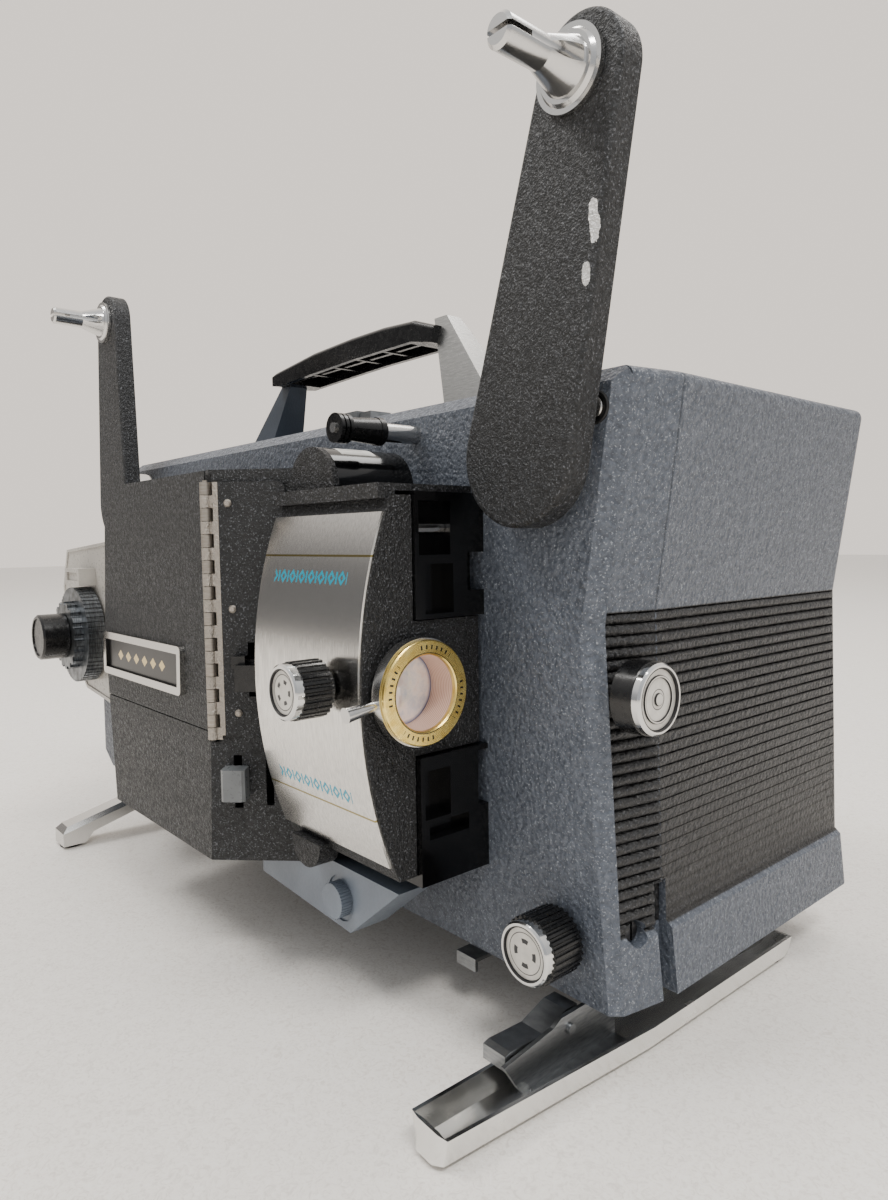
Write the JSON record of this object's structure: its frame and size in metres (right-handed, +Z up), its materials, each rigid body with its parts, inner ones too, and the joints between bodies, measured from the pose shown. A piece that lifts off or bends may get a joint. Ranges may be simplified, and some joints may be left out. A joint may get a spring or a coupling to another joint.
{
  "type": "film projector",
  "caption": "Portable film projector: slant-ended case with ribbed ends, folding reel arms, lamp house with hinged door, zoom lens, control dial, carrying handle and cross feet.",
  "frame": {"origin": "bottom centre of the whole projector's bounding box, on the table", "axes": "+X the way the lens looks, +Z up, -Y towards the film side with the lamp house and controls"},
  "size_m": [0.334, 0.2, 0.2686],
  "materials": {
    "aluminium_fan": "as cast",
    "case_paint": "pebbled blue-grey enamel; black between the ribs",
    "ceramic": "unglazed, off-white",
    "chrome": "polished",
    "crinkle_black": "black crinkle enamel",
    "dial_grey": "satin, fine ribs",
    "glass": "clear, coated",
    "gloss_black": "gloss black",
    "gold": "gold anodised look, satin",
    "grip_black": "semi-gloss black",
    "knob_black": "satin black",
    "leg_bright": "satin",
    "leg_grey": "smooth blue-grey enamel",
    "light_tab": "light grey",
    "mirror": "polished",
    "motor_paint": "semi-matt black",
    "panel_grey": "satin light grey with a dark rim",
    "rubber": "matt",
    "satin_plate": "brushed and clear lacquered",
    "steel": "satin"
  },
  "bodies": {
    "case": {"mechanism_case": "case_paint", "back_cover": "case_paint", "cover_screws": "steel", "pivot_studs": "chrome", "lamp_house_body": "crinkle_black", "fixed_hinge_leaf": "crinkle_black", "lamp_socket": "ceramic", "projection_lamp": "glass", "lamp_reflector": "mirror", "condenser_lens": "glass", "film_gate_body": "gloss_black", "film_gate_plates": "steel", "lens_housing": "crinkle_black", "face_plate": "satin_plate", "film_cover": "gloss_black", "film_guard": "leg_grey", "guard_screw": "leg_grey", "motor_body": "motor_paint", "drive_belt": "rubber", "control_housing": "case_paint", "control_panel": "panel_grey", "rear_foot": "chrome", "rear_pads": "rubber", "handle_grip": "grip_black", "handle_front_leg": "leg_bright", "handle_rear_leg": "leg_grey", "lid_hook": "chrome", "latch_base": "steel", "power_inlet": "knob_black"},
    "front_arm": {"front_reel_arm": "crinkle_black"},
    "front_spindle_body": {"front_spindle": "chrome"},
    "rear_arm": {"rear_reel_arm": "crinkle_black"},
    "rear_spindle_body": {"rear_spindle": "chrome"},
    "door": {"lamp_door": "crinkle_black", "door_hinge_leaf": "steel", "nameplate": "chrome"},
    "lens": {"lens_barrel": "knob_black", "lens_bezel": "gold", "lens_glasses": "glass"},
    "zoom": {"zoom_ring": "chrome"},
    "focus": {"focus_knob": "knob_black", "focus_cap": "chrome"},
    "lamp_lever_body": {"lamp_lever": "light_tab"},
    "framing_tab_body": {"framing_tab": "knob_black"},
    "upper_sprocket_body": {"upper_sprocket": "steel"},
    "lower_sprocket_body": {"lower_sprocket": "steel"},
    "roller": {"film_roller": "knob_black"},
    "tilt_drive": {"tilt_knob": "knob_black", "tilt_cap": "chrome"},
    "tilt_foot": {"front_foot": "chrome", "foot_bracket": "steel", "foot_pads": "rubber"},
    "catch": {"foot_catch": "chrome"},
    "shutter_drive": {"main_shaft": "steel", "inching_knob": "knob_black", "inching_cap": "chrome"},
    "rotor": {"motor_rotor": "aluminium_fan"},
    "dial": {"function_dial": "dial_grey"},
    "speed": {"speed_knob": "knob_black"},
    "latch": {"latch_lever": "light_tab"}
  },
  "joints": [
    {"name": "front_arm_fold", "type": "hinge", "parent": "case", "child": "front_arm", "pos_m": [0.13284, -0.0426, 0.1663], "axis": [0, 1, 0], "range_deg": [0, 167]},
    {"name": "front_spindle_spin", "type": "hinge", "parent": "front_arm", "child": "front_spindle_body", "pos_m": [0.15266, -0.0586, 0.25358], "axis": [0, 1, 0], "continuous": true},
    {"name": "rear_arm_fold", "type": "hinge", "parent": "case", "child": "rear_arm", "pos_m": [-0.14436, -0.0496, 0.1663], "axis": [0, 1, 0], "range_deg": [0, 76]},
    {"name": "rear_spindle_spin", "type": "hinge", "parent": "rear_arm", "child": "rear_spindle_body", "pos_m": [-0.14436, -0.0656, 0.2558], "axis": [0, 1, 0], "continuous": true},
    {"name": "lamp_door_swing", "type": "hinge", "parent": "case", "child": "door", "pos_m": [0.02964, -0.084, 0.12], "axis": [0, 0, 1], "range_deg": [0, 100]},
    {"name": "lens_focus", "type": "slide", "parent": "case", "child": "lens", "axis": [1, 0, 0], "range_m": [-0.0015, 0.004]},
    {"name": "focus_turn", "type": "hinge", "parent": "case", "child": "focus", "pos_m": [0.09314, -0.0846, 0.1049], "axis": [0, -1, 0], "range_deg": [-34.5, 92]},
    {"name": "zoom_turn", "type": "hinge", "parent": "lens", "child": "zoom", "pos_m": [0.11164, -0.0622, 0.1034], "axis": [1, 0, 0], "range_deg": [-30, 30]},
    {"name": "lamp_lever_slide", "type": "slide", "parent": "case", "child": "lamp_lever_body", "axis": [0, 0, 1], "range_m": [-0.004, 0.004]},
    {"name": "framing_slide", "type": "slide", "parent": "case", "child": "framing_tab_body", "axis": [0, 0, 1], "range_m": [-0.004, 0.004]},
    {"name": "upper_sprocket_spin", "type": "hinge", "parent": "case", "child": "upper_sprocket_body", "pos_m": [0.06364, -0.0546, 0.161], "axis": [0, 1, 0], "continuous": true},
    {"name": "lower_sprocket_spin", "type": "hinge", "parent": "case", "child": "lower_sprocket_body", "pos_m": [0.06364, -0.0546, 0.057], "axis": [0, 1, 0], "continuous": true},
    {"name": "film_roller_spin", "type": "hinge", "parent": "case", "child": "roller", "pos_m": [0.07814, -0.0566, 0.178], "axis": [0, 1, 0], "continuous": true},
    {"name": "tilt_foot_slide", "type": "slide", "parent": "case", "child": "tilt_foot", "axis": [0, 0, -1], "range_m": [0, 0.018]},
    {"name": "tilt_knob_turn", "type": "hinge", "parent": "case", "child": "tilt_drive", "pos_m": [0.13884, -0.0426, 0.0356], "axis": [0, -1, 0], "range_deg": [0, 206.3]},
    {"name": "foot_catch_lift", "type": "hinge", "parent": "tilt_foot", "child": "catch", "pos_m": [0.13964, -0.0391, 0.0134], "axis": [-1, 0, 0], "range_deg": [0, 12]},
    {"name": "motor_spin", "type": "hinge", "parent": "case", "child": "rotor", "pos_m": [0.05764, 0.0434, 0.062], "axis": [1, 0, 0], "continuous": true},
    {"name": "shutter_shaft_spin", "type": "hinge", "parent": "case", "child": "shutter_drive", "pos_m": [0.09264, -0.026, 0.1033], "axis": [1, 0, 0], "continuous": true},
    {"name": "function_dial_turn", "type": "hinge", "parent": "case", "child": "dial", "pos_m": [-0.11336, -0.0806, 0.1035], "axis": [0, -1, 0], "range_deg": [-90, 90]},
    {"name": "speed_knob_turn", "type": "hinge", "parent": "case", "child": "speed", "pos_m": [-0.11336, -0.0946, 0.1035], "axis": [0, -1, 0], "range_deg": [-60, 60]},
    {"name": "latch_lift", "type": "hinge", "parent": "case", "child": "latch", "pos_m": [0.03064, -0.0221, 0.1898], "axis": [-1, 0, 0], "range_deg": [0, 50]}
  ],
  "couplings": [
    {"joint": "focus_turn", "follows": "lens_focus", "rad_per_m": 400},
    {"joint": "tilt_knob_turn", "follows": "tilt_foot_slide", "rad_per_m": 200},
    {"joint": "shutter_shaft_spin", "follows": "motor_spin", "ratio": 0.7172},
    {"joint": "upper_sprocket_spin", "follows": "motor_spin", "ratio": 0.05977},
    {"joint": "lower_sprocket_spin", "follows": "motor_spin", "ratio": 0.05977}
  ]
}
